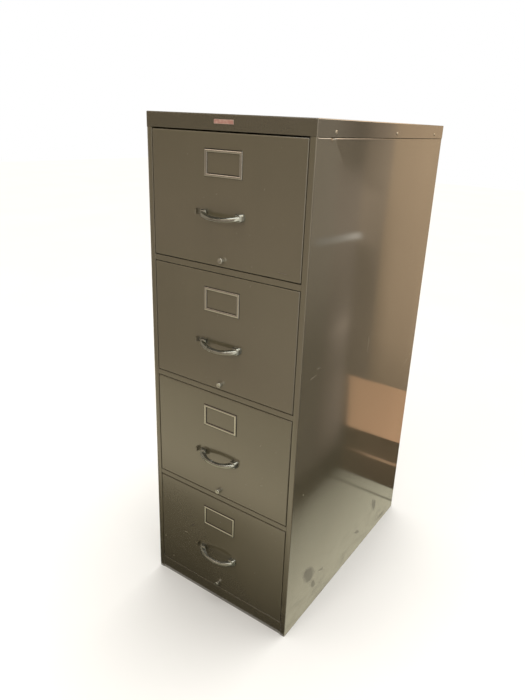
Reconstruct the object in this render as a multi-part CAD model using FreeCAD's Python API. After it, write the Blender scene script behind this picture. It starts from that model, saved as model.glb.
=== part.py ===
import FreeCAD, Part
import math
import os

# Four-drawer steel filing cabinet, millimetres.
# Origin: centre of the footprint on the floor. +X right seen from the front, +Y back, +Z up.

# ---- the case ----
WIDTH = 464.0
DEPTH = 724.0
HEIGHT = 1321.0
SHEET = 1.0
FRONT_Y = -DEPTH / 2
BACK_Y = DEPTH / 2
CAP_X = WIDTH / 2
PANEL_X = CAP_X - SHEET        # outer face of a side panel, behind the cap's skirt
BASE_H = 40.0                  # floor to the lowest opening
OPENING_H = 300.5
RAIL_H = 15.0                  # rail between two openings
HEADER_H = 34.0
SKIRT_H = 35.0
DRAWERS = 4
OPENING_X = 216.0              # half the width of an opening
RETURN_Y = FRONT_Y + 20.0      # back edge of the stiles' returns
REAR_FLANGE_W = 25.0
RAIL_SET_BACK = 1.5            # rails sit behind the stiles' faces
PAN_LIP_H = 20.0
BEND_R = 2.0
STILE_EDGE_R = 1.5
BASE_EDGE_R = 1.8
SEAM = 0.4                     # gap between the stiles and the header
HIDDEN_TOP_Z = HEIGHT - 1.5    # top of the panels under the cap
CAP_CORNER = 2.6               # room for the cap's corners
BOLT_SLOT_X = (-OPENING_X - 2.0, -OPENING_X + 4.0)
BOLT_SLOT_PLAY_Y = 2.0
BOLT_SLOT_PLAY_Z = 1.0

# ---- cap screws and name plate ----
SCREW_Y = (-286.0, 29.0, 295.0)
SCREW_Z = 1296.0
SCREW_HEAD_R = 4.0
SCREW_HEAD_H = 1.6
SCREW_DOME_R = 1.2
SCREW_SLOT_W = 1.0
SCREW_SLOT_DEPTH = 0.7
SCREW_SHANK_R = 1.9
SCREW_HOLE_R = 2.0
SCREW_LENGTH = 6.0
PLATE_W = 54.0
PLATE_H = 9.5
PLATE_T = 1.2
PLATE_EDGE_R = 0.6
PLATE_Z = 1305.4

# ---- drawer front and box ----
GAP_TOP = 1.0                  # between a drawer front and its opening
GAP_HEADER = 3.0               # the same above the top drawer
GAP_SIDE = 1.6
GAP_BOTTOM = 2.0
FRONT_DEPTH = 20.0
FRONT_BEND_R = 2.5
BODY_X = 198.0
BODY_REAR_Y = 330.0
BODY_FLOOR = 8.0               # above the opening's lower edge
BODY_TOP = 262.0
BODY_BEND_R = 4.0
BODY_HEM = 8.0
INNER_FRONT_X = 212.5
INNER_FRONT_LOW = 3.5
INNER_FRONT_HIGH = 297.0

# ---- hardware on a drawer front ----
HANDLE_DROP = 178.0            # opening's top to the handle's middle
BOW_X = 62.5                   # the bow's outer and inner curves are half ellipses
BOW_Y = 30.0
BOW_INNER_X = 44.0
BOW_INNER_Y = 25.5
BOW_H = 10.0
BOW_OUTER_R = 3.9
BOW_INNER_R = 0.8
FOOT_H = 17.5
FOOT_DEPTH = 12.0
FOOT_OUTER_R = 4.5
FOOT_FRONT_R = 3.0
LABEL_DROP = 68.0              # opening's top to the label frame's middle
LABEL_W = 107.0
LABEL_H = 61.0
LABEL_MEMBER_W = 8.75
LABEL_T = 3.0
LATCH_X = -74.5
LATCH_TAB_W = 5.0
LATCH_TAB_H = 11.0
LATCH_TAB_OUT = 9.0
LATCH_TAB_R = 1.2
LATCH_SLOT = (-78.5, -64.5)
LATCH_SLOT_H = 12.4
LATCH_COVER_X = (-86.5, -62.5)
LATCH_COVER_H = 20.0
LATCH_COVER_T = 1.5
LATCH_COVER_GAP = 0.4
LATCH_BAR_END = -211.0
LATCH_BAR_H = 12.0
LATCH_BAR_Y = FRONT_Y + 10.0
LATCH_BAR_T = 2.0

# ---- guide rod and follower ----
ROD_R = 4.0
ROD_HOLE_R = 4.6
ROD_UP = 18.0                  # above the opening's lower edge
KNOB_R = 6.8
KNOB_LENGTH = 9.5
KNOB_EDGE_R = 1.5
KNOB_GAP = 0.6
KNOB_DISH_R = 14.0
KNOB_DISH_DEPTH = 0.7
FOLLOWER_X = 180.0
FOLLOWER_Y = 318.0
FOLLOWER_T = 1.5
FOLLOWER_TOP = 225.0
FOLLOWER_CORNER_R = 20.0
FOLLOWER_CLEAR = 0.5           # above the drawer's floor
FOLLOWER_FLANGE_Y = 12.0
FOLLOWER_FLANGE_DROP = 30.0
FOLLOWER_FOOT_X = 60.0
FOLLOWER_FOOT_Y = 70.0

# ---- runners: distances from the middle plane, half-heights from the runner's middle ----
SLIDE_UP = 130.0               # runner's middle above the opening's lower edge
RUNNER_T = 1.5
DRAWER_RAIL = (198.0, 206.0)
DRAWER_RAIL_HALF = 16.5
SLIDE_WEB = (208.0, 209.5)
SLIDE_FLANGE = (199.3, 215.5)
SLIDE_HALF = 19.5
CHANNEL = (217.5, 230.0)
CHANNEL_HALF = 22.5
DRAWER_RAIL_Y = (-338.0, 330.0)
SLIDE_Y = (-335.0, 325.0)
CHANNEL_Y = (-340.0, 340.0)
RUNNER_PLAY = 0.4
SHOE_LENGTH = 22.0
ROLLER_Y = -315.0
PIN_R = 4.0
ROLLER_BORE_R = 4.05
ROLLER_EDGE_R = 0.8
PIN_END = 0.2                  # a pin's end is this far inside its roller's face
CASE_ROLLER = (210.0, 215.0)
CASE_ROLLER_R = 17.6
SLIDE_ROLLER = (200.5, 206.0)
SLIDE_ROLLER_R = 14.6

X_AXIS = FreeCAD.Vector(1, 0, 0)
MIDDLE = FreeCAD.Vector(0, 0, 0)


def box(x, y, z):
    """A box from (low, high) along each axis."""
    corner = FreeCAD.Vector(x[0], y[0], z[0])
    return Part.makeBox(x[1] - x[0], y[1] - y[0], z[1] - z[0], corner)


def rod(start, end, radius):
    """A cylinder between two points."""
    start = FreeCAD.Vector(*start)
    along = FreeCAD.Vector(*end) - start
    return Part.makeCylinder(radius, along.Length, start, along)


def mirrored(shape):
    """The same shape on the cabinet's other side."""
    return shape.mirror(MIDDLE, X_AXIS)


def fillet_where(shape, radius, test):
    """Round the edges whose centres pass the test."""
    return shape.makeFillet(radius, [e for e in shape.Edges if test(e.CenterOfMass)])


def near(a, b):
    return abs(a - b) < 0.01


def united(shapes):
    """One solid from overlapping or touching shapes."""
    return shapes[0].fuse(shapes[1:]).removeSplitter()


def save(node, *solids):
    """Write one node. Several solids stay separate inside it."""
    shape = solids[0] if len(solids) == 1 else Part.makeCompound(list(solids))
    shape.exportStep(os.path.join("parts", node + ".step"))


def opening_bottom(number):
    """Height of the lower edge of drawer NUMBER's opening, drawer 1 on top."""
    return BASE_H + (DRAWERS - number) * (OPENING_H + RAIL_H)


def handle_height(number):
    return opening_bottom(number) + OPENING_H - HANDLE_DROP


# ---------------------------------------------------------------- the case

def side_panel(side):
    """Outer wall, front stile with its return, and rear flange, bent from one sheet."""
    stile_top = HEIGHT - HEADER_H - SEAM
    flange_y = (BACK_Y - 3 * SHEET, BACK_Y - 2 * SHEET)
    wall = united([
        box((PANEL_X - SHEET, PANEL_X), (FRONT_Y, BACK_Y - SHEET), (0, HIDDEN_TOP_Z)),
        box((OPENING_X, PANEL_X), (FRONT_Y, FRONT_Y + SHEET), (0, stile_top)),
        box((OPENING_X, OPENING_X + SHEET), (FRONT_Y, RETURN_Y), (PAN_LIP_H + SHEET, stile_top)),
        box((PANEL_X - REAR_FLANGE_W, PANEL_X), flange_y, (0, HIDDEN_TOP_Z)),
    ])
    for y in ((FRONT_Y, FRONT_Y + CAP_CORNER), (BACK_Y - 2 * SHEET, BACK_Y)):
        wall = wall.cut(box((PANEL_X - SHEET, PANEL_X), y, (stile_top, HIDDEN_TOP_Z)))
    wall = fillet_where(wall, BEND_R, lambda p: near(p.x, PANEL_X) and near(p.y, FRONT_Y))
    wall = fillet_where(wall, STILE_EDGE_R, lambda p: near(p.x, OPENING_X) and near(p.y, FRONT_Y))
    for y in SCREW_Y:
        inside, outside = PANEL_X - 2 * SHEET, PANEL_X + SHEET
        wall = wall.cut(rod((inside, y, SCREW_Z), (outside, y, SCREW_Z), SCREW_HOLE_R))
    if side > 0:
        return wall
    wall = mirrored(wall)
    for number in range(1, DRAWERS + 1):
        wall = wall.cut(bolt_slot(number))
    return wall


def bolt_slot(number):
    """The slot that a drawer's latch bolt enters, in the left stile and in the drawer front's side."""
    height = handle_height(number)
    half = LATCH_BAR_H / 2 + BOLT_SLOT_PLAY_Z
    y = (LATCH_BAR_Y - BOLT_SLOT_PLAY_Y, LATCH_BAR_Y + LATCH_BAR_T + BOLT_SLOT_PLAY_Y)
    return box(BOLT_SLOT_X, y, (height - half, height + half))


def back_panel():
    return box(
        (CAP_CORNER - PANEL_X, PANEL_X - CAP_CORNER),
        (BACK_Y - 2 * SHEET, BACK_Y - SHEET),
        (0, HIDDEN_TOP_Z),
    )


def top_cap():
    """Top plate with skirts on the sides and back, and the header with its ledge in front."""

    def is_corner(p):
        return near(abs(p.x), CAP_X) and near(abs(p.y), BACK_Y)

    skirt_bottom = HEIGHT - SKIRT_H
    header_bottom = HEIGHT - HEADER_H
    cap = box((-CAP_X, CAP_X), (FRONT_Y, BACK_Y), (skirt_bottom, HEIGHT))
    cap = fillet_where(cap, BEND_R, lambda p: is_corner(p) or near(p.z, HEIGHT))
    cap = cap.cut(box(
        (-PANEL_X, PANEL_X),
        (FRONT_Y + SHEET, BACK_Y - SHEET),
        (skirt_bottom, HEIGHT - SHEET),
    ))
    cap = cap.cut(box((-CAP_X, CAP_X), (FRONT_Y, FRONT_Y + SHEET), (skirt_bottom, header_bottom)))
    ledge_x = PANEL_X - SHEET - SEAM
    ledge = box((-ledge_x, ledge_x), (FRONT_Y + SHEET, RETURN_Y), (header_bottom, header_bottom + SHEET))
    cap = united([cap, ledge])
    for y in SCREW_Y:
        cap = cap.cut(rod((-CAP_X - SHEET, y, SCREW_Z), (CAP_X + SHEET, y, SCREW_Z), SCREW_HOLE_R))
    return cap


def base_rail():
    """The rail under the bottom drawer, with a ledge bent back along its top."""
    y = FRONT_Y + RAIL_SET_BACK
    rail = united([
        box((-OPENING_X, OPENING_X), (y, y + SHEET), (0, BASE_H)),
        box((-OPENING_X, OPENING_X), (y, RETURN_Y), (BASE_H - SHEET, BASE_H)),
    ])
    return fillet_where(rail, BASE_EDGE_R, lambda p: near(p.y, y) and near(p.z, BASE_H))


def bottom_pan():
    """Shallow pan that the case stands on."""
    half = PANEL_X - SHEET
    y = (FRONT_Y + RAIL_SET_BACK + SHEET, BACK_Y - 3 * SHEET)
    pan = box((-half, half), y, (0, PAN_LIP_H))
    hollow = box((SHEET - half, half - SHEET), (y[0] + SHEET, y[1] - SHEET), (SHEET, PAN_LIP_H))
    return pan.cut(hollow)


def cross_rail(number):
    """The rail under drawer NUMBER: a channel open to the back."""
    top = opening_bottom(number)
    y = FRONT_Y + RAIL_SET_BACK
    rail = box((-OPENING_X, OPENING_X), (y, RETURN_Y), (top - RAIL_H, top))
    rail = fillet_where(rail, BEND_R, lambda p: near(p.y, y) and near(p.x, 0))
    hollow = box(
        (-OPENING_X, OPENING_X),
        (y + SHEET, RETURN_Y),
        (top - RAIL_H + SHEET, top - SHEET),
    )
    hollow = fillet_where(hollow, BEND_R - SHEET, lambda p: near(p.y, y + SHEET) and near(p.x, 0))
    return rail.cut(hollow)


def name_plate():
    plate = box(
        (-PLATE_W / 2, PLATE_W / 2),
        (FRONT_Y - PLATE_T, FRONT_Y),
        (PLATE_Z - PLATE_H / 2, PLATE_Z + PLATE_H / 2),
    )
    return fillet_where(plate, PLATE_EDGE_R, lambda p: near(p.y, FRONT_Y - PLATE_T))


def cap_screw(y):
    """A domed screw with a slot, through the right skirt."""
    face = CAP_X + SCREW_HEAD_H
    head = rod((CAP_X, y, SCREW_Z), (face, y, SCREW_Z), SCREW_HEAD_R)
    head = fillet_where(head, SCREW_DOME_R, lambda p: near(p.x, face))
    slot = box(
        (face - SCREW_SLOT_DEPTH, face),
        (y - SCREW_SLOT_W / 2, y + SCREW_SLOT_W / 2),
        (SCREW_Z - SCREW_HEAD_R, SCREW_Z + SCREW_HEAD_R),
    )
    shank = rod((CAP_X - SCREW_LENGTH, y, SCREW_Z), (CAP_X, y, SCREW_Z), SCREW_SHANK_R)
    return united([head.cut(slot), shank])


def case_channel(number):
    """A runner fixed to the right side panel, with the pin its roller turns on."""
    height = opening_bottom(number) + SLIDE_UP
    inner, outer = CHANNEL
    channel = box(CHANNEL, CHANNEL_Y, (height - CHANNEL_HALF, height + CHANNEL_HALF))
    half = CHANNEL_HALF - RUNNER_T
    channel = channel.cut(box((inner, outer - RUNNER_T), CHANNEL_Y, (height - half, height + half)))
    pin = rod((CASE_ROLLER[0] + PIN_END, ROLLER_Y, height), (outer, ROLLER_Y, height), PIN_R)
    return united([channel, pin])


# ---------------------------------------------------------------- a drawer

def drawer_front(number):
    """The bent pan that faces the room."""
    top_gap = GAP_HEADER if number == 1 else GAP_TOP
    low = opening_bottom(number) + GAP_BOTTOM
    high = opening_bottom(number) + OPENING_H - top_gap
    half = OPENING_X - GAP_SIDE
    rear = FRONT_Y + FRONT_DEPTH

    def at_corner(p):
        return near(abs(p.x), half) and (near(p.z, low) or near(p.z, high))

    pan = box((-half, half), (FRONT_Y, rear), (low, high))
    pan = fillet_where(pan, FRONT_BEND_R, lambda p: near(p.y, FRONT_Y) or at_corner(p))
    hollow = box((SHEET - half, half - SHEET), (FRONT_Y + SHEET, rear), (low + SHEET, high - SHEET))
    hollow = fillet_where(hollow, FRONT_BEND_R - SHEET, lambda p: near(p.y, FRONT_Y + SHEET))
    middle = handle_height(number)
    skin_y = (FRONT_Y, FRONT_Y + SHEET)
    latch_slot = box(LATCH_SLOT, skin_y, (middle - LATCH_SLOT_H / 2, middle + LATCH_SLOT_H / 2))
    height = opening_bottom(number) + ROD_UP
    rod_hole = rod((0, skin_y[0], height), (0, skin_y[1], height), ROD_HOLE_R)
    return pan.cut(hollow).cut(latch_slot).cut(rod_hole).cut(bolt_slot(number))


def rounded_trough(half_width, y, z, radius):
    """A block with its lower side edges and its rear edges rounded, but not its top rim."""

    def is_bend(p):
        at_side = near(abs(p.x), half_width) and near(p.z, z[0])
        at_rear = near(p.y, y[1]) and not near(p.z, z[1])
        return at_side or at_rear

    return fillet_where(box((-half_width, half_width), y, z), radius, is_bend)


def drawer_body(number):
    """The open box behind the front, closed in front by the inner front panel."""
    bottom = opening_bottom(number)
    low = bottom + BODY_FLOOR
    high = bottom + BODY_TOP
    front = FRONT_Y + FRONT_DEPTH
    body = rounded_trough(BODY_X, (front, BODY_REAR_Y), (low, high), BODY_BEND_R)
    body = body.cut(rounded_trough(
        BODY_X - SHEET,
        (front + SHEET, BODY_REAR_Y - SHEET),
        (low + SHEET, high - SHEET),
        BODY_BEND_R - SHEET,
    ))
    mouth = box(
        (BODY_HEM - BODY_X, BODY_X - BODY_HEM),
        (front + SHEET, BODY_REAR_Y - BODY_HEM),
        (high - 2 * SHEET, high),
    )
    inner_front = box(
        (-INNER_FRONT_X, INNER_FRONT_X),
        (front, front + SHEET),
        (bottom + INNER_FRONT_LOW, bottom + INNER_FRONT_HIGH),
    )
    height = bottom + ROD_UP
    rod_holes = rod((0, front, height), (0, BODY_REAR_Y, height), ROD_HOLE_R)
    return united([body.cut(mouth), inner_front]).cut(rod_holes)


def drawer_rail(number):
    """The runner on the drawer's right side, with a guide shoe at its rear end."""
    height = opening_bottom(number) + SLIDE_UP
    inner, outer = DRAWER_RAIL
    rail = box(DRAWER_RAIL, DRAWER_RAIL_Y, (height - DRAWER_RAIL_HALF, height + DRAWER_RAIL_HALF))
    half = DRAWER_RAIL_HALF - RUNNER_T
    rail = rail.cut(box((inner + RUNNER_T, outer), DRAWER_RAIL_Y, (height - half, height + half)))
    shoe_half = SLIDE_HALF - RUNNER_T - RUNNER_PLAY
    shoe = box(
        (inner + RUNNER_T, SLIDE_WEB[0] - RUNNER_PLAY),
        (DRAWER_RAIL_Y[1] - SHOE_LENGTH, DRAWER_RAIL_Y[1]),
        (height - shoe_half, height + shoe_half),
    )
    return united([rail, shoe])


def slide_rail(number):
    """The intermediate runner, with a guide shoe at its rear end and its roller's pin in front."""
    height = opening_bottom(number) + SLIDE_UP
    web = box(SLIDE_WEB, SLIDE_Y, (height - SLIDE_HALF, height + SLIDE_HALF))
    flanges = [
        box(SLIDE_FLANGE, SLIDE_Y, (height + SLIDE_HALF - RUNNER_T, height + SLIDE_HALF)),
        box(SLIDE_FLANGE, SLIDE_Y, (height - SLIDE_HALF, height - SLIDE_HALF + RUNNER_T)),
    ]
    shoe_half = CHANNEL_HALF - RUNNER_T - RUNNER_PLAY
    shoe = box(
        (SLIDE_WEB[1], CHANNEL[1] - RUNNER_T - RUNNER_PLAY),
        (SLIDE_Y[1] - SHOE_LENGTH, SLIDE_Y[1]),
        (height - shoe_half, height + shoe_half),
    )
    pin = rod((SLIDE_ROLLER[0] + PIN_END, ROLLER_Y, height), (SLIDE_WEB[0], ROLLER_Y, height), PIN_R)
    return united([web, *flanges, shoe, pin])


def roller(number, reach, radius):
    """A roller on the right side, bored for its pin, between the two distances in reach."""
    height = opening_bottom(number) + SLIDE_UP
    ends = [(x, ROLLER_Y, height) for x in reach]
    wheel = rod(*ends, radius)
    wheel = wheel.makeFillet(ROLLER_EDGE_R, [e for e in wheel.Edges if e.Closed])
    return wheel.cut(rod(*ends, ROLLER_BORE_R))


def half_ellipse(reach_x, reach_y, height):
    """Half of an upright elliptical disc in front of the drawer front, centred at z = 0."""
    center = FreeCAD.Vector(0, FRONT_Y, -height / 2)
    disc = Part.Face(Part.Wire([Part.Ellipse(center, reach_x, reach_y).toShape()]))
    solid = disc.extrude(FreeCAD.Vector(0, 0, height))
    behind = box((-2 * reach_x, 2 * reach_x), (FRONT_Y, FRONT_Y + 2 * reach_y), (-height, height))
    return solid.cut(behind)


def bow_layer(height, edge_radius):
    """The bow's plan shape at that height, with its outer edges rounded."""

    def is_outer_edge(p):
        return near(abs(p.z), height / 2) and p.y < FRONT_Y - 1

    outer = fillet_where(half_ellipse(BOW_X, BOW_Y, height), edge_radius, is_outer_edge)
    return outer.cut(half_ellipse(BOW_INNER_X, BOW_INNER_Y, 2 * height))


def handle(number):
    """A cast bow pull: a rounded bow with a taller hooded foot at each end."""

    def is_inner_edge(p):
        return near(abs(p.z), BOW_H / 2) and p.y < FRONT_Y - 1

    bow = fillet_where(bow_layer(BOW_H, BOW_OUTER_R), BOW_INNER_R, is_inner_edge)
    foot_front = FRONT_Y - FOOT_DEPTH
    foot_zone = box((-2 * BOW_X, 2 * BOW_X), (foot_front, FRONT_Y), (-FOOT_H, FOOT_H))
    feet = [
        fillet_where(foot, FOOT_FRONT_R, lambda p: near(p.y, foot_front))
        for foot in bow_layer(FOOT_H, FOOT_OUTER_R).common(foot_zone).Solids
    ]
    shape = united([bow, *feet])
    shape.translate(FreeCAD.Vector(0, 0, handle_height(number)))
    return shape


def label_frame(number):
    """A card holder frame: a half-round member swept round a rectangle, mitred at its corners."""
    half_w = (LABEL_W - LABEL_MEMBER_W) / 2
    half_h = (LABEL_H - LABEL_MEMBER_W) / 2
    path = Part.makePolygon([
        FreeCAD.Vector(x * half_w, FRONT_Y, z * half_h)
        for x, z in ((0, -1), (1, -1), (1, 1), (-1, 1), (-1, -1), (0, -1))
    ])
    center = FreeCAD.Vector(0, FRONT_Y, -half_h)
    inner_edge = center + FreeCAD.Vector(0, 0, LABEL_MEMBER_W / 2)
    crest = center - FreeCAD.Vector(0, LABEL_T, 0)
    arch = Part.Arc(Part.Ellipse(inner_edge, crest, center), 0, math.pi).toShape()
    flat = Part.makeLine(arch.Vertexes[-1].Point, arch.Vertexes[0].Point)
    mitred = 1
    frame = path.makePipeShell([Part.Wire([arch, flat])], True, False, mitred)
    frame.translate(FreeCAD.Vector(0, 0, opening_bottom(number) + OPENING_H - LABEL_DROP))
    return frame


def thumb_latch(number):
    """Thumb tab in front, cover plate behind the slot, and the bolt bar to the left stile."""
    middle = handle_height(number)
    tab_x = (LATCH_X - LATCH_TAB_W / 2, LATCH_X + LATCH_TAB_W / 2)
    tab_front = FRONT_Y - LATCH_TAB_OUT
    cover_y = (FRONT_Y + SHEET + LATCH_COVER_GAP, FRONT_Y + SHEET + LATCH_COVER_GAP + LATCH_COVER_T)
    bar_z = (middle - LATCH_BAR_H / 2, middle + LATCH_BAR_H / 2)
    tab = box(tab_x, (tab_front, cover_y[0]), (middle - LATCH_TAB_H / 2, middle + LATCH_TAB_H / 2))
    tab = fillet_where(tab, LATCH_TAB_R, lambda p: near(p.y, tab_front))
    cover = box(LATCH_COVER_X, cover_y, (middle - LATCH_COVER_H / 2, middle + LATCH_COVER_H / 2))
    stem = box(tab_x, (cover_y[1], LATCH_BAR_Y), bar_z)
    bar = box((LATCH_BAR_END, tab_x[1]), (LATCH_BAR_Y, LATCH_BAR_Y + LATCH_BAR_T), bar_z)
    return united([tab, cover, stem, bar])


def guide_rod(number):
    height = opening_bottom(number) + ROD_UP
    return rod((0, FRONT_Y - KNOB_LENGTH / 2, height), (0, BODY_REAR_Y + 2 * SHEET, height), ROD_R)


def rod_knob(number):
    """A round knob with a dished face on the rod's front end."""
    height = opening_bottom(number) + ROD_UP
    front = FRONT_Y - KNOB_GAP - KNOB_LENGTH
    knob = rod((0, FRONT_Y - KNOB_GAP, height), (0, front, height), KNOB_R)
    knob = fillet_where(knob, KNOB_EDGE_R, lambda p: near(p.y, front))
    dish = Part.makeSphere(KNOB_DISH_R, FreeCAD.Vector(0, front - KNOB_DISH_R + KNOB_DISH_DEPTH, height))
    return knob.cut(dish).cut(guide_rod(number))


def follower(number):
    """The plate that holds files upright, with side flanges and a foot on the drawer's floor."""
    bottom = opening_bottom(number)
    low = bottom + BODY_FLOOR + SHEET + FOLLOWER_CLEAR
    high = bottom + FOLLOWER_TOP
    rear = FOLLOWER_Y + FOLLOWER_T
    plate = box((-FOLLOWER_X, FOLLOWER_X), (FOLLOWER_Y, rear), (low, high))
    plate = fillet_where(plate, FOLLOWER_CORNER_R, lambda p: near(abs(p.x), FOLLOWER_X) and near(p.z, high))
    flange = box(
        (FOLLOWER_X - FOLLOWER_T, FOLLOWER_X),
        (FOLLOWER_Y - FOLLOWER_FLANGE_Y, FOLLOWER_Y),
        (low, high - FOLLOWER_FLANGE_DROP),
    )
    foot = box(
        (-FOLLOWER_FOOT_X, FOLLOWER_FOOT_X),
        (FOLLOWER_Y - FOLLOWER_FOOT_Y, FOLLOWER_Y),
        (low, low + FOLLOWER_T),
    )
    height = bottom + ROD_UP
    hole = rod((0, FOLLOWER_Y, height), (0, rear, height), ROD_R + 2 * FOLLOWER_CLEAR)
    return united([plate, flange, mirrored(flange), foot]).cut(hole)


# ---------------------------------------------------------------- write every node

os.makedirs("parts", exist_ok=True)

save("side_panel_right", side_panel(1))
save("side_panel_left", side_panel(-1))
save("back_panel", back_panel())
save("top_cap", top_cap())
save("base_rail", base_rail())
save("bottom_pan", bottom_pan())
save("cross_rails", *[cross_rail(number) for number in range(1, DRAWERS)])
save("name_plate", name_plate())
right_screws = [cap_screw(y) for y in SCREW_Y]
save("cap_screws", *right_screws, *[mirrored(screw) for screw in right_screws])
right_channels = [case_channel(number) for number in range(1, DRAWERS + 1)]
save("case_channels", *right_channels, *[mirrored(channel) for channel in right_channels])

for number in range(1, DRAWERS + 1):
    drawer = "drawer_%d_" % number
    save(drawer + "front", drawer_front(number))
    save(drawer + "body", drawer_body(number))
    save(drawer + "handle", handle(number))
    save(drawer + "label_frame", label_frame(number))
    save(drawer + "thumb_latch", thumb_latch(number))
    save(drawer + "guide_rod", guide_rod(number))
    save(drawer + "rod_knob", rod_knob(number))
    save(drawer + "follower", follower(number))
    pairs = {
        "rails": drawer_rail(number),
        "slide_rails": slide_rail(number),
        "case_rollers": roller(number, CASE_ROLLER, CASE_ROLLER_R),
        "slide_rollers": roller(number, SLIDE_ROLLER, SLIDE_ROLLER_R),
    }
    for name, right in pairs.items():
        save(drawer + name, right, mirrored(right))
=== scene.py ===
import math

import bmesh
import bpy
from mathutils import Matrix, Vector, noise

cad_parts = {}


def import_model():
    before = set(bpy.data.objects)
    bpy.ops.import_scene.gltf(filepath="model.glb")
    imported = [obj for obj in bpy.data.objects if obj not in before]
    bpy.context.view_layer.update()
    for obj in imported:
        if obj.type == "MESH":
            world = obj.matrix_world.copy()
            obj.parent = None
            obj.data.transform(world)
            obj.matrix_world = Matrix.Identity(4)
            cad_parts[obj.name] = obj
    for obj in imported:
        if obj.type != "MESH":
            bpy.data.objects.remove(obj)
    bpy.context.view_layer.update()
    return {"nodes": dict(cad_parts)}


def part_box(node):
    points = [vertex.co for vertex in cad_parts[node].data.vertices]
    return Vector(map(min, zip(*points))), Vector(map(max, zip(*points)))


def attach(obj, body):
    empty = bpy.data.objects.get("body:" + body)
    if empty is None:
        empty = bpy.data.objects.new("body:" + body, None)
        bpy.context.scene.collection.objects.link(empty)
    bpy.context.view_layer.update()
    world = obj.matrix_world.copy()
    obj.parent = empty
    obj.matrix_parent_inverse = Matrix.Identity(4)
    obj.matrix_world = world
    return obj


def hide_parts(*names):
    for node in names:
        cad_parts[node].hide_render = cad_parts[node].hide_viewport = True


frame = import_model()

# Looks of a four-drawer steel filing cabinet. Metres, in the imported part's frame:
# the floor is z = 0, +X is the cabinet's right seen from the front, +Y its back.

CASE_LOW, CASE_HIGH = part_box("top_cap")
FRONT_Y = CASE_LOW[1]
BACK_Y = CASE_HIGH[1]
TOP_Z = CASE_HIGH[2]
SKIRT_BOTTOM = CASE_LOW[2]
DRAWERS = (1, 2, 3, 4)

# Camera, solved from the case's corners
CAMERA_PLACE = (0.82961, -1.39103, 1.31066)
CAMERA_HEADING = math.radians(-33.0438)   # from +Y, positive towards +X
CAMERA_DOWN = math.radians(20.6028)
CAMERA_ROLL = math.radians(2.7509)
CAMERA_LENS = 29.747
CAMERA_SHIFT = (-0.01996, -0.01531)

# Light levels
AMBIENT = 0.45
ROOM_GLOW = 0.10
BACKDROP = 1.0
FLOOR_HALF = 14.0
FLOOR_GAP = 0.0005             # the floor's cards lie just above it

# Paint colours (linear)
OLIVE = (0.100, 0.084, 0.050)
OLIVE_DARK = (0.062, 0.052, 0.031)
OLIVE_LIGHT = (0.145, 0.126, 0.080)
OLIVE_WORN = (0.260, 0.235, 0.165)
# dirt colour, also used for the plates' painted shade
GRIME_AND_SHADE = (0.034, 0.022, 0.015)
RUST = (0.160, 0.080, 0.040)


# ------------------------------------------------------------------ node helpers

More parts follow.
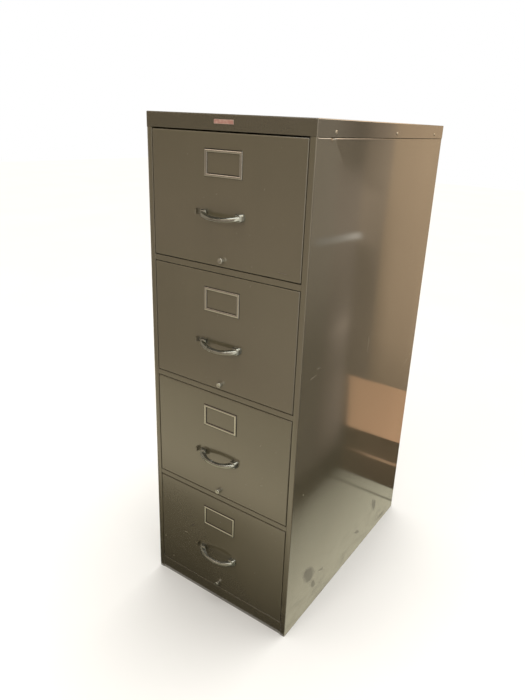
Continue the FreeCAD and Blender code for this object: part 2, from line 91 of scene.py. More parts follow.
class Shader:
    """A Principled material under construction. Settings are plain values on its own sockets."""

    def __init__(self, name, **settings):
        self.material = bpy.data.materials.new(name)
        self.material.use_nodes = True
        self.tree = self.material.node_tree
        self.bsdf = self.tree.nodes["Principled BSDF"]
        for socket, value in settings.items():
            self.bsdf.inputs[socket.replace("_", " ")].default_value = value

    def feed(self, socket, value):
        """Link a socket value, or set a plain one."""
        if isinstance(value, bpy.types.NodeSocket):
            self.tree.links.new(value, socket)
        else:
            socket.default_value = value

    def add(self, kind, **inputs):
        made = self.tree.nodes.new("ShaderNode" + kind)
        for name, value in inputs.items():
            self.feed(made.inputs[name.replace("_", " ")], value)
        return made

    def place(self):
        """The surface point in metres."""
        return self.add("TexCoord").outputs["Object"]

    def noise(self, scale, stretch=(1, 1, 1), turn=(0, 0, 0), detail=3.0, rough=0.5):
        """Noise about 1 / scale metres across, turned in degrees and then stretched per axis."""
        point = self.place()
        if any(turn):
            turned = [math.radians(angle) for angle in turn]
            point = self.add("Mapping", Vector=point, Rotation=turned).outputs[0]
        point = self.add("Mapping", Vector=point, Scale=stretch).outputs[0]
        return self.add("TexNoise", Vector=point, Scale=scale, Detail=detail, Roughness=rough).outputs["Fac"]

    def ramp(self, value, low, high, out_low=0.0, out_high=1.0):
        """value from low..high onto out_low..out_high, clamped."""
        made = self.add("MapRange", Value=value)
        settings = {"From Min": low, "From Max": high, "To Min": out_low, "To Max": out_high}
        for name, number in settings.items():
            made.inputs[name].default_value = number
        return made.outputs["Result"]

    def math(self, operation, a, b=0.0):
        made = self.tree.nodes.new("ShaderNodeMath")
        made.operation = operation
        self.feed(made.inputs[0], a)
        self.feed(made.inputs[1], b)
        return made.outputs[0]

    def blend(self, factor, a, b):
        """Colour a where factor is 0, b where it is 1."""
        made = self.tree.nodes.new("ShaderNodeMix")
        made.data_type = "RGBA"
        self.feed(made.inputs[0], factor)
        for index, value in ((6, a), (7, b)):
            is_link = isinstance(value, bpy.types.NodeSocket)
            self.feed(made.inputs[index], value if is_link else (*value, 1.0))
        return made.outputs[2]

    def highest(self, values):
        total = values[0]
        for value in values[1:]:
            total = self.math("MAXIMUM", total, value)
        return total

    def scratches(self, turn, fine=500.0, long=4.0, rarity=0.80):
        """Sparse thin scratches along one direction: very stretched noise, kept where it peaks."""
        streak = self.noise(1.0, (long, fine, fine), turn, detail=1.0)
        return self.ramp(streak, rarity, rarity + 0.02)

    def spot(self, plane, center, half, angle=0.0, soft=0.3, ragged=0.5, grain=60.0):
        """1 inside an ellipse on the XZ or YZ plane (metres and degrees), with a soft ragged edge."""
        through = 1000.0
        turn = math.radians(angle)
        mapping = self.add("Mapping", Vector=self.place())
        mapping.vector_type = "TEXTURE"
        if plane == "XZ":
            mapping.inputs["Location"].default_value = (center[0], 0, center[1])
            mapping.inputs["Rotation"].default_value = (0, -turn, 0)
            mapping.inputs["Scale"].default_value = (half[0], through, half[1])
        else:
            mapping.inputs["Location"].default_value = (0, center[0], center[1])
            mapping.inputs["Rotation"].default_value = (turn, 0, 0)
            mapping.inputs["Scale"].default_value = (through, half[0], half[1])
        reach = self.tree.nodes.new("ShaderNodeVectorMath")
        reach.operation = "LENGTH"
        self.tree.links.new(mapping.outputs[0], reach.inputs[0])
        fray = self.ramp(self.noise(grain, detail=4.0), 0.3, 0.7, -ragged, ragged)
        return self.ramp(self.math("ADD", reach.outputs["Value"], fray), 1.0 - soft, 1.0 + soft, 1.0, 0.0)

    def spots(self, plane, marks):
        """The strongest of several spots, each given as spot's own arguments."""
        return self.highest([self.spot(plane, *mark) for mark in marks])

    def edges(self, node, width):
        """1 along the box edges of a CAD node, 0 further than width from them."""
        low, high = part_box(node)
        generated = self.add("SeparateXYZ", Vector=self.add("TexCoord").outputs["Generated"])
        near = []
        for axis, length in zip("XYZ", [b - a for a, b in zip(low, high)]):
            from_middle = self.math("ABSOLUTE", self.math("SUBTRACT", generated.outputs[axis], 0.5))
            near.append(self.ramp(from_middle, 0.5 - width / length, 0.5))
        pairs = ((near[0], near[1]), (near[1], near[2]), (near[0], near[2]))
        return self.highest([self.math("MULTIPLY", a, b) for a, b in pairs])

    def bump(self, height, strength, distance, normal=None):
        made = self.add("Bump", Height=height, Strength=strength, Distance=distance)
        if normal is not None:
            self.tree.links.new(normal, made.inputs["Normal"])
        return made.outputs["Normal"]

    def finish(self, **links):
        for socket, value in links.items():
            self.tree.links.new(value, self.bsdf.inputs[socket.replace("_", " ")])
        return self.material


def tone(level, tint):
    """A tint at that brightness."""
    return [level * part for part in tint]


# ------------------------------------------------------------------ materials

def paint(name, gloss=0.15, shade=1.0, wear=1.0, edge_of=None, plane="XZ", dark=(), light=(), grubby=0.0):
    """Old olive-grey enamel: mottled, streaked, scratched and slightly wavy.

    gloss: roughness of the lacquer. shade: brightness of the colour; below 1 it is painted shade. wear: how
    strongly age shows.
    edge_of: the CAD node whose box edges are chipped bright. dark, light: spots on the plane.
    grubby: how strongly dirt shows in the lowest part of the case.
    """
    s = Shader(name, IOR=1.75, Coat_Roughness=gloss * 0.8, Coat_IOR=1.7)
    mottle = s.ramp(s.noise(3.2, detail=4.0), 0.3, 0.7)
    colour = s.blend(mottle, tone(0.94 * shade, OLIVE), tone(1.06 * shade, OLIVE))
    streak = s.ramp(s.noise(24.0, (1.0, 1.0, 0.07), detail=4.0), 0.56, 0.78, 0.0, 0.08 * wear)
    colour = s.blend(streak, colour, OLIVE_DARK)
    fine = s.ramp(s.noise(420.0, detail=2.0), 0.35, 0.65, 0.0, 0.10)
    colour = s.blend(fine, colour, OLIVE_LIGHT)

    lines = [s.scratches((20.0, 65.0, 30.0)), s.scratches((10.0, -20.0, 40.0), long=14.0)]
    bright = [s.math("MULTIPLY", s.highest(lines), 0.3 * wear)]
    if edge_of:
        chipped = s.ramp(s.noise(140.0, detail=5.0, rough=0.65), 0.50, 0.60, 0.0, 0.45 * wear)
        bright.append(s.math("MULTIPLY", s.edges(edge_of, 0.0014), chipped))
    if light:
        bright.append(s.spots(plane, light))
    bright = s.highest(bright)
    colour = s.blend(bright, colour, OLIVE_WORN)

    dirty = [s.ramp(s.noise(38.0, detail=5.0, rough=0.62), 0.775, 0.785, 0.0, wear)]
    if dark:
        dirty.append(s.math("MULTIPLY", s.spots(plane, dark), 0.7))
    if grubby:
        height = s.add("SeparateXYZ", Vector=s.place()).outputs["Z"]
        near_floor = s.ramp(height, 0.015, 0.16, grubby, 0.0)
        patches = s.ramp(s.noise(34.0, (1.0, 0.45, 1.0), detail=6.0, rough=0.66), 0.46, 0.66)
        dirty.append(s.math("MULTIPLY", patches, near_floor))
    dirty = s.highest(dirty)
    colour = s.blend(dirty, colour, GRIME_AND_SHADE)

    haze = s.ramp(s.noise(7.0, detail=6.0, rough=0.6), 0.35, 0.75, gloss * 0.85, gloss * 1.45)
    roughness = s.math("ADD", haze, s.math("MULTIPLY", s.highest([bright, dirty]), 0.45))
    normal = s.bump(s.noise(4.0, detail=1.0), 0.2, 0.004)
    normal = s.bump(s.noise(650.0, detail=2.0), 0.006, 0.0002, normal)
    coat = s.ramp(dirty, 0.0, 1.0, 1.0, 0.45)
    return s.finish(Base_Color=colour, Roughness=roughness, Coat_Weight=coat, Normal=normal)


def plated(name, colour, gloss, flank_shade=0.0):
    """Nickel plate: faintly clouded, with a few fine pits and polishing lines.

    The last setting paints shade: the plate is painted darker where it doesn't face the front.
    """
    s = Shader(name, Metallic=1.0)
    cloud = s.ramp(s.noise(28.0, detail=5.0, rough=0.55), 0.35, 0.75, 0.0, 0.3)
    tint = s.blend(cloud, colour, tone(0.6, colour))
    pit = s.ramp(s.noise(300.0, detail=3.0), 0.74, 0.78, 0.0, 0.6)
    tint = s.blend(pit, tint, GRIME_AND_SHADE)
    # painted shade: darker plate colour where the surface turns away from the front
    if flank_shade:
        facing = s.add("SeparateXYZ", Vector=s.add("NewGeometry").outputs["Normal"]).outputs["Y"]
        tint = s.blend(s.ramp(facing, -0.97, -0.75, 0.0, flank_shade), tint, GRIME_AND_SHADE)
    roughness = s.ramp(s.noise(60.0, detail=4.0), 0.3, 0.7, gloss * 0.8, gloss * 1.4)
    normal = s.bump(s.noise(500.0, (0.15, 1.0, 1.0), detail=2.0), 0.05, 0.0001)
    return s.finish(Base_Color=tint, Roughness=roughness, Normal=normal)


def steel(name, colour, gloss, grain=(1.0, 0.03, 1.0)):
    """Zinc-plated or plain rolled steel with lengthwise grain and faint rust."""
    s = Shader(name, Metallic=1.0)
    line = s.ramp(s.noise(900.0, grain, detail=3.0), 0.3, 0.7)
    tint = s.blend(line, tone(0.85, colour), tone(1.1, colour))
    rust = s.ramp(s.noise(30.0, detail=6.0, rough=0.65), 0.62, 0.78, 0.0, 0.6)
    tint = s.blend(rust, tint, RUST)
    grainy = s.ramp(line, 0.0, 1.0, gloss, gloss * 1.3)
    roughness = s.math("ADD", grainy, s.math("MULTIPLY", rust, 0.3))
    normal = s.bump(line, 0.10, 0.0002)
    return s.finish(Base_Color=tint, Roughness=roughness, Normal=normal)


def plate_enamel(name, node):
    """Faded pink enamel with a worn metal rim, blank."""
    s = Shader(name, Coat_Weight=0.4, Coat_Roughness=0.2)
    worn = s.ramp(s.noise(160.0, detail=4.0, rough=0.6), 0.42, 0.64)
    colour = s.blend(worn, (0.35, 0.165, 0.13), (0.45, 0.27, 0.21))
    colour = s.blend(s.edges(node, 0.0012), colour, (0.36, 0.30, 0.24))
    roughness = s.ramp(worn, 0.0, 1.0, 0.3, 0.45)
    normal = s.bump(s.noise(600.0), 0.15, 0.0002)
    return s.finish(Base_Color=colour, Roughness=roughness, Normal=normal)


def dress(material, names):
    """Give that material to the named CAD nodes."""
    for name in names:
        node = frame["nodes"][name]
        node.data.materials.clear()
        node.data.materials.append(material)


def of_drawers(*parts):
    return ["drawer_%d_%s" % (n, part) for n in DRAWERS for part in parts]


# ------------------------------------------------------------------ side panels

SHEET = 0.001
PANEL_X = CASE_HIGH[0] - SHEET # outer face
STILE_X = 0.216
STILE_BEND_R = 0.0015
BEND_R = 0.002
RETURN_Y = FRONT_Y + 0.020
STILE_TOP = TOP_Z - 0.0344
PANEL_TOP = TOP_Z - 0.0015
CORNER_ROOM = 0.0026
FLANGE_X = PANEL_X - 0.025
FLANGE_Y = BACK_Y - 0.002
WALL_STEP = 0.009
ROW_STEP = 0.010
FOLD_STEP = 0.002              # finer grid around the fold
RIM_STEP = 0.0005
ARC_STEPS = 4

RIM_DEPTH = 0.0016             # the sheet turns in under the cap's skirt
RIM_LOW = SKIRT_BOTTOM - 0.0048
SWELL = 0.0008                 # deepest bow of the flat sheet, in or out
FOLD_START = (-0.292, SKIRT_BOTTOM)
FOLD_END = (-0.249, 1.240)
FOLD_RIDGE = 0.0008            # the sheet stands out along the fold line and sinks in behind it
FOLD_DEPTH = 0.0032
RIDGE_WIDTH = 0.008
SINK_START = 0.045
SINK_WIDTH = 0.160
HOLLOW_REACH = 1.8             # the hollow goes on below the crease, in crease heights
PULL_DEPTH = 0.0026            # the front screw pulls the sheet in
PULL_WIDTH = 0.008


def arc(center, radius, start, end):
    """Points along an arc in plan, angles in degrees."""
    for step in range(ARC_STEPS + 1):
        angle = math.radians(start + (end - start) * step / ARC_STEPS)
        yield (center[0] + radius * math.cos(angle), center[1] + radius * math.sin(angle))


def even(low, high, step):
    """Evenly spaced values from low to high, ends included."""
    count = max(1, round((high - low) / step))
    return [low + (high - low) * i / count for i in range(count + 1)]


def merged(values):
    """Sorted values without near duplicates."""
    kept = []
    for value in sorted(values):
        if not kept or value - kept[-1] > RIM_STEP / 2:
            kept.append(value)
    return kept


def wall_columns(creased):
    """Positions along Y of the flat wall's grid."""
    columns = even(FRONT_Y + CORNER_ROOM, FLANGE_Y - SHEET, WALL_STEP)
    if creased:
        columns += even(FOLD_START[0] - 0.025, FOLD_END[0] + 0.035, FOLD_STEP)
    return merged(columns)


def panel_rows(creased):
    """Heights of the panel's grid, closer together where its top edge turns in."""
    rows = even(0.0, RIM_LOW, ROW_STEP) + even(RIM_LOW, SKIRT_BOTTOM, RIM_STEP)
    rows += even(STILE_TOP, PANEL_TOP, ROW_STEP)
    if creased:
        rows += even(FOLD_END[1] - 0.012, RIM_LOW, FOLD_STEP)
    return merged(rows)


def panel_outline(creased):
    """Plan of the right panel's outer skin, from the stile's return round to the rear flange."""
    points = [(STILE_X, RETURN_Y), (STILE_X, FRONT_Y + BEND_R * 2)]
    points += arc((STILE_X + STILE_BEND_R, FRONT_Y + STILE_BEND_R), STILE_BEND_R, 180, 270)
    points += arc((PANEL_X - BEND_R, FRONT_Y + BEND_R), BEND_R, 270, 360)
    points += [(PANEL_X, y) for y in wall_columns(creased)]
    return points + [(PANEL_X, FLANGE_Y), (FLANGE_X, FLANGE_Y)]


def inside(value, low, high, margin):
    """0 at low and high, 1 further in than margin, smooth between."""
    depth = min(value - low, high - value) / margin
    depth = max(0.0, min(1.0, depth))
    return depth * depth * (3 - 2 * depth)


def swell(y, z, seed):
    """How far the thin sheet bows inwards at a point of the side; negative is outwards."""
    slow = noise.noise(Vector((y * 2.4, z * 2.1, seed)))
    quick = noise.noise(Vector((y * 6.5 + 7.0, z * 5.0, seed + 3.0)))
    bow = max(-1.0, min(1.0, 1.5 * slow + 0.4 * quick))
    return SWELL * bow * inside(y, FRONT_Y, BACK_Y, 0.06) * inside(z, -0.02, RIM_LOW, 0.05)


def fold(y, z):
    """The crease below the front screw: a low ridge with a long hollow behind it."""
    along = Vector(FOLD_END) - Vector(FOLD_START)
    offset = Vector((y, z)) - Vector(FOLD_START)
    behind = (along[0] * offset[1] - along[1] * offset[0]) / along.length
    drop = (SKIRT_BOTTOM - z) / (SKIRT_BOTTOM - FOLD_END[1])
    sharp = max(0.0, 1.0 - drop) ** 0.5
    soft = max(0.0, 1.0 - drop / HOLLOW_REACH)
    pull = PULL_DEPTH * math.exp(-offset.length_squared / PULL_WIDTH ** 2)
    width = RIDGE_WIDTH if behind < 0 else SINK_START
    ridge = sharp * FOLD_RIDGE * math.exp(-abs(behind) / width)
    if behind < 0:
        return pull - ridge
    hollow = soft * FOLD_DEPTH * (1 - math.exp(-behind / SINK_START)) * math.exp(-behind / SINK_WIDTH)
    return pull + hollow - ridge


def turned_rim(y, z):
    """The last few millimetres below the skirt curve inwards."""
    rise = max(0.0, min(1.0, (z - RIM_LOW) / (SKIRT_BOTTOM - RIM_LOW)))
    return RIM_DEPTH * rise * rise * inside(y, FRONT_Y, BACK_Y, 0.01)


def side_panel(name, node, side, seed, creased, material):
    """A side of the case as one bent sheet: stile, wall and rear flange, slightly uneven."""
    outline = panel_outline(creased)
    rows = panel_rows(creased)
    verts, faces = [], []
    for z in rows:
        for x, y in outline:
            inward = 0.0
            if x == PANEL_X and y < FLANGE_Y:
                inward = swell(y, z, seed) + (fold(y, z) if creased else 0.0) + turned_rim(y, z)
            verts.append((side * (x - inward), y, z))
    columns = len(outline)
    for r in range(len(rows) - 1):
        for c in range(columns - 1):
            above_stile = rows[r + 1] > STILE_TOP + 1e-6
            if above_stile and outline[c][1] < FRONT_Y + CORNER_ROOM - 1e-6:
                continue
            corner = r * columns + c
            quad = (corner, corner + 1, corner + columns + 1, corner + columns)
            faces.append(quad if side > 0 else quad[::-1])
    piece = thick_sheet(name, verts, faces)
    piece.data.materials.append(material)
    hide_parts(node)
    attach(piece, "case")


def thick_sheet(name, verts, faces):
    """A sheet of steel from its outer skin, thickened inwards."""
    mesh = bpy.data.meshes.new(name)
    mesh.from_pydata(verts, [], faces)
    piece = bpy.data.objects.new(name, mesh)
    bpy.context.scene.collection.objects.link(piece)
    solid = piece.modifiers.new("sheet", "SOLIDIFY")
    solid.thickness = SHEET
    solid.offset = -1.0
    depsgraph = bpy.context.evaluated_depsgraph_get()
    shaped = bpy.data.meshes.new_from_object(piece.evaluated_get(depsgraph))
    piece.modifiers.clear()
    piece.data = shaped
    piece.data.shade_smooth()
    piece.data.set_sharp_from_angle(angle=math.radians(35))
    return piece


# ------------------------------------------------------------------ handles

BOW_INNER = (0.044, 0.0255)    # the opening inside the bow of the CAD handle: half width, depth
BOW_CREST = 0.030              # how far the bow stands off the drawer front
BOW_EXTRA = 0.0035             # the cast bow is this much thicker at its crest
BOW_DROOP = 0.009              # and hangs this much lower there
SAME_POINT = 0.00001


def cast_bow(x, y, z):
    """Where a point of the CAD handle lies on the thicker, drooping bow."""
    depth = max(0.0, FRONT_Y - y)
    from_opening = math.hypot(x / BOW_INNER[0], depth / BOW_INNER[1]) - 1.0
    rim = BOW_CREST / BOW_INNER[1] - 1.0
    share = max(0.0, min(1.0, 1.0 - from_opening / rim))
    thicker = BOW_EXTRA * share * depth / BOW_CREST
    return (x, y + thicker, z - BOW_DROOP * (depth / BOW_CREST) ** 1.5)


def bow_handle(number, material):
    """A handle whose bow hangs down and thickens towards its crest."""
    node = frame["nodes"]["drawer_%d_handle" % number]
    shape = bmesh.new()
    shape.from_mesh(node.data)
    shape.transform(node.matrix_world)
    bmesh.ops.remove_doubles(shape, verts=shape.verts, dist=SAME_POINT)
    shape.verts.index_update()
    verts = [cast_bow(*vert.co) for vert in shape.verts]
    faces = [[vert.index for vert in face.verts] for face in shape.faces]
    shape.free()
    mesh = bpy.data.meshes.new("drawer_%d_bow" % number)
    mesh.from_pydata(verts, [], faces)
    mesh.shade_smooth()
    mesh.set_sharp_from_angle(angle=math.radians(40))
    mesh.materials.append(material)
    piece = bpy.data.objects.new("drawer_%d_bow" % number, mesh)
    bpy.context.scene.collection.objects.link(piece)
    even_shading = piece.modifiers.new("even_shading", "WEIGHTED_NORMAL")
    even_shading.keep_sharp = True
    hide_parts(node.name)
    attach(piece, "drawer_%d" % number)


# ------------------------------------------------------------------ stage, lights, camera

def card(name, columns, rows, stand, flag=False):
    """A glowing card that only reflections see.

    columns: (place across, share of the right-hand colour). rows: (place along, left-hand colour,
    right-hand colour). stand: makes a point of both places. A flag also shades the surfaces in
    front of it, and lets light through from behind.
    """
    mesh = bpy.data.meshes.new(name)
    verts = [stand(across, along) for along, _, _ in rows for across, _ in columns]
    width = len(columns)
    corners = [r * width + c for r in range(len(rows) - 1) for c in range(width - 1)]
    mesh.from_pydata(verts, [], [(i, i + width, i + width + 1, i + 1) for i in corners])
    glow = mesh.color_attributes.new("glow", "FLOAT_COLOR", "POINT")
    for index in range(len(verts)):
        _, left, right = rows[index // width]
        share = columns[index % width][1]
        glow.data[index].color = [a + (b - a) * share for a, b in zip(left, right)] + [1.0]
    piece = bpy.data.objects.new(name, mesh)
    bpy.context.scene.collection.objects.link(piece)
    mesh.materials.append(card_material(name, flag))
    unseen = ["camera", "transmission", "volume_scatter", "shadow"] + ([] if flag else ["diffuse"])
    for ray in unseen:
        setattr(piece, "visible_" + ray, False)


def card_material(name, flag):
    """The glow painted on a card's corners; a flag is clear from behind."""
    material = bpy.data.materials.new(name)
    material.use_nodes = True
    nodes, links = material.node_tree.nodes, material.node_tree.links
    nodes.remove(nodes["Principled BSDF"])
    tint = nodes.new("ShaderNodeAttribute")
    tint.attribute_name = "glow"
    lamp = nodes.new("ShaderNodeEmission")
    links.new(tint.outputs["Color"], lamp.inputs["Color"])
    shown = lamp
    if flag:
        shown = nodes.new("ShaderNodeMixShader")
        links.new(nodes.new("ShaderNodeNewGeometry").outputs["Backfacing"], shown.inputs["Fac"])
        links.new(lamp.outputs[0], shown.inputs[1])
        links.new(nodes.new("ShaderNodeBsdfTransparent").outputs[0], shown.inputs[2])
    links.new(shown.outputs[0], nodes["Material Output"].inputs["Surface"])
    return material


def facing_card(name, y, columns, rows):
    """A standing card across the room. columns: (x, share), rows: (z, left, right)."""
    card(name, columns, rows, lambda x, z: (x, y, z))


def flank_card(name, x, columns, rows):
    """A standing card along the room. columns: (y, share), rows: (z, near, far)."""
    card(name, columns, rows, lambda y, z: (x, y, z))


def floor_card(name, columns, rows, flag=False):
    """A card just above the floor. columns: (x, share), rows: (y, left, right), furthest back
    first so that it faces up."""
    card(name, columns, rows, lambda x, y: (x, y, FLOOR_GAP), flag)


def plain(levels, tint):
    """Rows of one colour each from (place, level) pairs."""
    return [(place, tone(level, tint), tone(level, tint)) for place, level in levels]


def graded(levels, tint):
    """Rows from (place, left level, right level)."""
    return [(place, tone(left, tint), tone(right, tint)) for place, left, right in levels]


def floor():
    """A plain pale floor without gloss."""
    mesh = bpy.data.meshes.new("floor")
    corners = [(x * FLOOR_HALF, y * FLOOR_HALF, 0) for x, y in ((-1, -1), (1, -1), (1, 1), (-1, 1))]
    mesh.from_pydata(corners, [], [(0, 1, 2, 3)])
    piece = bpy.data.objects.new("floor", mesh)
    bpy.context.scene.collection.objects.link(piece)
    s = Shader("floor_pale", Roughness=0.8, Specular_IOR_Level=0.0)
    cloud = s.ramp(s.noise(1.4, detail=3.0), 0.3, 0.7)
    mesh.materials.append(s.finish(Base_Color=s.blend(cloud, (0.86, 0.855, 0.84), (0.88, 0.875, 0.86))))


def world():
    """Pale to the camera, an even soft light on surfaces, and a dim warm room in reflections."""
    made = bpy.data.worlds.new("studio")
    bpy.context.scene.world = made
    made.use_nodes = True
    nodes, links = made.node_tree.nodes, made.node_tree.links
    nodes.remove(nodes["Background"])
    path = nodes.new("ShaderNodeLightPath")

    def background(colour, strength):
        lit = nodes.new("ShaderNodeBackground")
        lit.inputs["Color"].default_value = (*colour, 1.0)
        lit.inputs["Strength"].default_value = strength
        return lit.outputs[0]

    def choose(ray, otherwise, chosen):
        mix = nodes.new("ShaderNodeMixShader")
        links.new(path.outputs[ray], mix.inputs["Fac"])
        links.new(otherwise, mix.inputs[1])
        links.new(chosen, mix.inputs[2])
        return mix.outputs[0]

    soft = background((1.0, 0.98, 0.94), AMBIENT)
    reflected = choose("Is Glossy Ray", soft, background((1.0, 0.86, 0.66), ROOM_GLOW))
    seen = choose("Is Camera Ray", reflected, background((1.0, 1.0, 1.0), BACKDROP))
    links.new(seen, nodes["World Output"].inputs["Surface"])


def add_lamp(name, kind, place, target, power, colour):
    """A lamp of that kind at place, turned towards target."""
    data = bpy.data.lights.new(name, kind)
    data.energy = power
    data.color = colour
    lamp = bpy.data.objects.new(name, data)
    lamp.location = place
    aim = Vector(target) - Vector(place)
    lamp.rotation_euler = aim.to_track_quat("-Z", "Y").to_euler()
    bpy.context.scene.collection.objects.link(lamp)
    return data


def sun(name, place, angle, power, colour=(1.0, 0.98, 0.94)):
    """A broad soft light from the direction of place, seen from the origin, without a highlight."""
    data = add_lamp(name, "SUN", place, (0, 0, 0), power, colour)
    data.angle = math.radians(angle)
    bpy.data.objects[name].visible_glossy = False


def area_light(name, place, target, size, power, colour=(1.0, 0.96, 0.9)):
    """A rectangular lamp aimed at target; size in metres, power in watts."""
    data = add_lamp(name, "AREA", place, target, power, colour)
    data.shape = "RECTANGLE"
    data.size, data.size_y = size


def camera():
    """The camera at its solved place, heading, tilt and roll."""
    data = bpy.data.cameras.new("camera")
    data.sensor_width = 36.0
    data.lens = CAMERA_LENS
    data.shift_x, data.shift_y = CAMERA_SHIFT
    lens = bpy.data.objects.new("camera", data)
    ahead = Vector((
        math.sin(CAMERA_HEADING) * math.cos(CAMERA_DOWN),
        math.cos(CAMERA_HEADING) * math.cos(CAMERA_DOWN),
        -math.sin(CAMERA_DOWN),
    ))
    right = Vector((math.cos(CAMERA_HEADING), -math.sin(CAMERA_HEADING), 0))
    up = right.cross(ahead)
    tilted = right * math.cos(CAMERA_ROLL) + up * math.sin(CAMERA_ROLL)
    up = up * math.cos(CAMERA_ROLL) - right * math.sin(CAMERA_ROLL)
    turn = Matrix((tilted, up, -ahead)).transposed().to_4x4()
    lens.matrix_world = Matrix.Translation(CAMERA_PLACE) @ turn
    bpy.context.scene.collection.objects.link(lens)
    bpy.context.scene.camera = lens


# ------------------------------------------------------------------ dress the CAD nodes

# Marks on the paint: centre, half sizes, angle, softness, raggedness and grain of the rim
FRONT_SCARS = [                # x, z
    ((0.168, 1.003), (0.011, 0.0009), -4.0, 0.4, 0.3),
    ((-0.097, 0.2135), (0.0065, 0.0022), 35.0, 0.3, 0.5),
    ((0.136, 0.446), (0.004, 0.0007), 20.0, 0.4, 0.3),
]
FRONT_NICKS = [
    ((-0.173, 0.065), (0.0022, 0.0018), 0.0, 0.4, 0.4),
    ((-0.205, 0.124), (0.0014, 0.0020), 0.0, 0.4, 0.4),
    ((-0.123, 0.177), (0.0045, 0.0009), 10.0, 0.5, 0.5),
]
SIDE_STAINS = [                # y, z
    ((-0.251, 0.130), (0.036, 0.019), -50.0, 0.25, 0.45, 40.0),
    ((-0.219, 0.080), (0.020, 0.010), -60.0, 0.25, 0.45, 40.0),
    ((-0.174, 0.095), (0.013, 0.005), -30.0, 0.35, 0.6),
    ((0.180, 0.113), (0.026, 0.013), -50.0, 0.35, 0.7, 35.0),
    ((0.266, 0.021), (0.022, 0.006), -5.0, 0.4, 0.7),
    ((0.063, 0.075), (0.022, 0.004), -30.0, 0.4, 0.6),
]
SIDE_NICKS = [
    ((-0.311, 0.431), (0.003, 0.003), 0.0, 0.4, 0.4),
    ((0.314, 0.601), (0.030, 0.0008), 29.5, 0.5, 0.3),
    ((-0.006, 0.750), (0.020, 0.0008), -89.0, 0.5, 0.3),
    ((-0.305, 0.754), (0.013, 0.0008), 4.0, 0.5, 0.3),
    ((-0.282, 0.770), (0.008, 0.0008), -5.0, 0.5, 0.3),
]

front_paint = paint("enamel_drawer", edge_of="drawer_2_front", dark=FRONT_SCARS, light=FRONT_NICKS)
case_paint = paint("enamel_case")
# the cap is the case's enamel painted darker: painted shade
cap_paint_shaded = paint("enamel_cap_shaded", shade=0.7, edge_of="top_cap")
right_paint = paint(
    "enamel_right", gloss=0.115, plane="YZ", dark=SIDE_STAINS, light=SIDE_NICKS, grubby=0.5
)
left_paint = paint("enamel_left", grubby=0.5)
inner_paint = paint("enamel_inside", gloss=0.32, wear=0.6)
# the frames' flanks get painted shade
frame_nickel = plated("nickel_frames", (0.74, 0.75, 0.69), 0.14, flank_shade=0.8)
knob_nickel = plated("nickel_knobs", (0.62, 0.64, 0.59), 0.16)
handle_nickel = plated("nickel_handles", (0.43, 0.45, 0.41), 0.20)
runner = steel("runner_zinc", (0.50, 0.50, 0.48), 0.32)
roller = steel("roller_hardened", (0.40, 0.40, 0.40), 0.28, (1.0, 1.0, 1.0))
rod = steel("rod_bright", (0.56, 0.56, 0.55), 0.2)
screw = steel("screw_dull", (0.50, 0.48, 0.42), 0.26, (1.0, 1.0, 1.0))

dress(cap_paint_shaded, ["top_cap"])
dress(case_paint, ["base_rail", "cross_rails"] + of_drawers("thumb_latch"))
dress(front_paint, of_drawers("front"))
dress(inner_paint, ["back_panel", "bottom_pan"] + of_drawers("body", "follower"))
dress(frame_nickel, of_drawers("label_frame"))
dress(knob_nickel, of_drawers("rod_knob"))
dress(runner, ["case_channels"] + of_drawers("rails", "slide_rails"))
dress(roller, of_drawers("case_rollers", "slide_rollers"))
dress(rod, of_drawers("guide_rod"))
dress(screw, ["cap_screws"])
dress(plate_enamel("name_enamel", "name_plate"), ["name_plate"])

side_panel("case_side_right", "side_panel_right", 1, 2.0, True, right_paint)
side_panel("case_side_left", "side_panel_left", -1, 9.0, False, left_paint)
for number in DRAWERS:
    bow_handle(number, handle_nickel)

# ------------------------------------------------------------------ set the stage

WALL_Y = 0.462                 # a wall and a cupboard close by, seen only in the gloss
CUPBOARD_X = 0.52
SPOT_X = 0.515
GLINT_X = 0.50
ROOM_Y = -1.41
LEFT_X = -1.6
BEHIND_Y = 1.6

SAND = (1.0, 0.70, 0.44)
TAN = (1.0, 0.58, 0.32)
UMBER = (1.0, 0.62, 0.36)
STONE = (1.0, 0.84, 0.66)
DUSK = (1.0, 0.785, 0.62)
LAMP = (1.0, 0.92, 0.80)
FLOORING = (1.0, 0.94, 0.69)
HAY = (1.0, 0.88, 0.62)

facing_card("card_skirting", WALL_Y, [(0.24, 0.0), (0.38, 0.0), (0.46, 1.0), (0.50, 1.0)], graded([
    (0.0, 0.06, 0.05),
    (0.098, 0.09, 0.06),
    (0.104, 0.52, 0.14),
    (0.110, 0.50, 0.14),
    (0.116, 0.12, 0.07),
    (0.204, 0.09, 0.07),
], UMBER))
facing_card("card_wall_low", WALL_Y, [(0.24, 0.0), (0.495, 1.0)], plain([(0.204, 0.80), (0.42, 0.78)], TAN))
facing_card("card_wall", WALL_Y, [(0.24, 0.0), (0.375, 0.0), (0.42, 1.0)], graded([
    (0.42, 0.34, 0.28),
    (0.50, 0.41, 0.30),
    (0.60, 0.53, 0.34),
    (0.75, 0.62, 0.40),
    (0.90, 0.68, 0.50),
    (1.00, 0.71, 0.58),
    (1.20, 0.82, 0.78),
    (1.41, 0.86, 0.86),
    (1.45, 3.0, 3.0),
    (2.20, 3.0, 3.0),
], SAND))
facing_card("card_corner_low", WALL_Y, [(0.495, 0.0), (CUPBOARD_X, 1.0)], plain([
    (0.0, 0.02),
    (0.20, 0.05),
    (0.42, 0.12),
], STONE))
facing_card("card_corner", WALL_Y, [(0.42, 0.0), (CUPBOARD_X, 1.0)], graded([
    (0.42, 0.22, 0.15),
    (0.75, 0.23, 0.21),
    (0.90, 0.33, 0.22),
    (0.98, 0.41, 0.50),
    (1.09, 0.50, 0.57),
    (1.16, 0.56, 0.36),
    (1.40, 0.56, 0.34),
    (1.45, 3.0, 3.0),
    (2.20, 3.0, 3.0),
], (1.0, 0.75, 0.54)))
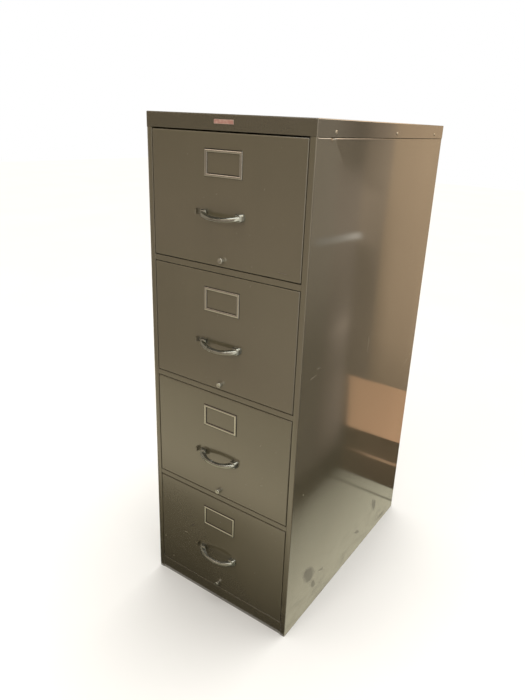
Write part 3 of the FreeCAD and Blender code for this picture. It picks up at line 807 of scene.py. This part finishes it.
flank_card("card_cupboard", CUPBOARD_X, [(-0.45, 0.0), (0.12, 1.0), (WALL_Y, 1.0)], graded([
    (0.0, 0.01, 0.01),
    (0.08, 0.02, 0.02),
    (0.14, 0.11, 0.11),
    (0.58, 0.125, 0.125),
    (0.70, 0.19, 0.19),
    (0.80, 0.26, 0.26),
    (0.95, 0.33, 0.33),
    (1.00, 0.40, 0.40),
    (1.15, 0.45, 0.41),
    (1.22, 1.2, 0.41),
    (1.40, 1.2, 0.40),
    (1.45, 3.0, 3.0),
    (2.20, 3.0, 3.0),
], STONE))
flank_card("card_window", CUPBOARD_X, [(-1.6, 0.0), (-0.45, 1.0)], graded([
    (0.0, 0.3, 0.02),
    (0.30, 1.6, 0.12),
    (1.00, 2.0, 0.8),
    (1.50, 1.8, 0.8),
    (2.20, 2.4, 1.6),
], LAMP))
flank_card("card_post", SPOT_X, [(0.27, 0.0), (0.40, 1.0), (0.461, 0.9)], graded([
    (0.12, 0.08, 0.08),
    (0.20, 0.12, 0.21),
    (0.26, 0.12, 0.28),
    (0.40, 0.125, 0.30),
    (0.50, 0.13, 0.26),
    (0.58, 0.13, 0.38),
    (0.63, 0.15, 0.54),
    (0.68, 0.17, 0.36),
    (0.74, 0.22, 0.28),
    (0.84, 0.28, 0.29),
    (0.95, 0.34, 0.36),
    (1.00, 0.42, 0.43),
    (1.12, 0.42, 0.41),
    (1.17, 0.40, 0.32),
    (1.22, 0.36, 0.18),
    (1.40, 0.34, 0.16),
], DUSK))
card("card_glint", [(0.970, 0.0), (0.992, 0.0)], plain([
    (0.12, 0.42),
    (0.226, 0.48),
    (0.33, 0.70),
    (0.41, 1.1),
    (0.445, 1.1),
    (0.456, 0.6),
], LAMP), lambda z, y: (GLINT_X, y, z - 0.06 * y))
floor_card("card_floor_right", [
    (0.2312, 0.0),
    (0.28, 0.03),
    (0.32, 0.14),
    (0.37, 0.24),
    (0.41, 0.34),
    (0.45, 0.48),
    (0.494, 0.72),
    (CUPBOARD_X, 0.96),
], graded([
    (WALL_Y, 0.64, 0.0),
    (0.400, 0.70, 0.0),
    (0.394, 0.30, 0.0),
    (0.388, 0.30, 0.0),
    (0.383, 0.76, 0.0),
    (-0.3, 0.85, 0.0),
    (-1.6, 0.80, 0.0),
], FLOORING))
ROOM_COLUMNS = [(-2.6, 0.0), (-1.26, 0.0), (-0.43, 1.0), (1.2, 1.0)]
facing_card("card_room_low", ROOM_Y, ROOM_COLUMNS, graded([
    (0.0, 0.34, 0.48),
    (0.06, 0.33, 0.47),
    (0.15, 0.27, 0.47),
    (0.38, 0.27, 0.48),
    (0.58, 0.27, 0.40),
    (0.72, 0.28, 0.35),
], (1.0, 0.82, 0.61)))
facing_card("card_room_high", ROOM_Y, ROOM_COLUMNS, graded([
    (0.72, 0.28, 0.35),
    (0.95, 0.25, 0.32),
    (1.18, 0.185, 0.245),
    (1.31, 0.13, 0.19),
    (1.45, 0.13, 0.19),
    (1.50, 1.1, 1.3),
    (1.90, 1.1, 1.3),
    (1.95, 0.05, 0.05),
    (2.60, 0.05, 0.05),
], DUSK))
floor_card("flag_front", [(-1.6, 0.0), (-0.15, 0.0), (0.10, 1.0), (0.5, 1.0)], graded([
    (FRONT_Y - 0.005, 0.04, 0.05),
    (-0.41, 0.05, 0.085),
    (-0.475, 0.09, 0.14),
    (-0.536, 0.13, 0.22),
    (-0.604, 0.18, 0.32),
    (-0.68, 0.33, 0.48),
    (-0.722, 0.52, 0.64),
    (-0.774, 0.63, 0.64),
    (-0.83, 0.76, 0.72),
    (-0.93, 0.74, 0.78),
    (-1.13, 0.63, 0.78),
    (ROOM_Y, 0.49, 0.64),
], HAY), flag=True)
flank_card("card_left", LEFT_X, [(-2.0, 0.0), (1.6, 1.0)], graded([
    (0.0, 0.30, 0.20),
    (0.6, 0.40, 0.26),
    (1.3, 0.50, 0.34),
    (2.2, 0.34, 0.30),
], STONE))
facing_card("card_behind", BEHIND_Y, [(-1.6, 0.0), (1.6, 1.0)], graded([
    (0.0, 0.30, 0.22),
    (0.8, 0.42, 0.30),
    (1.5, 0.50, 0.36),
    (2.2, 0.36, 0.30),
], STONE))

floor()
world()
sun("light_above", (0.05, 0.28, 1.0), 50.0, 2.5)
area_light("light_ceiling", (0.0, -0.9, 2.7), (0.0, -0.7, 0.0), (1.6, 0.9), 12.0)
area_light("light_front", (-0.2, -2.4, 2.1), (0.0, -0.3, 1.0), (0.7, 0.5), 12.0)
camera()
bpy.context.scene.view_settings.view_transform = "Standard"
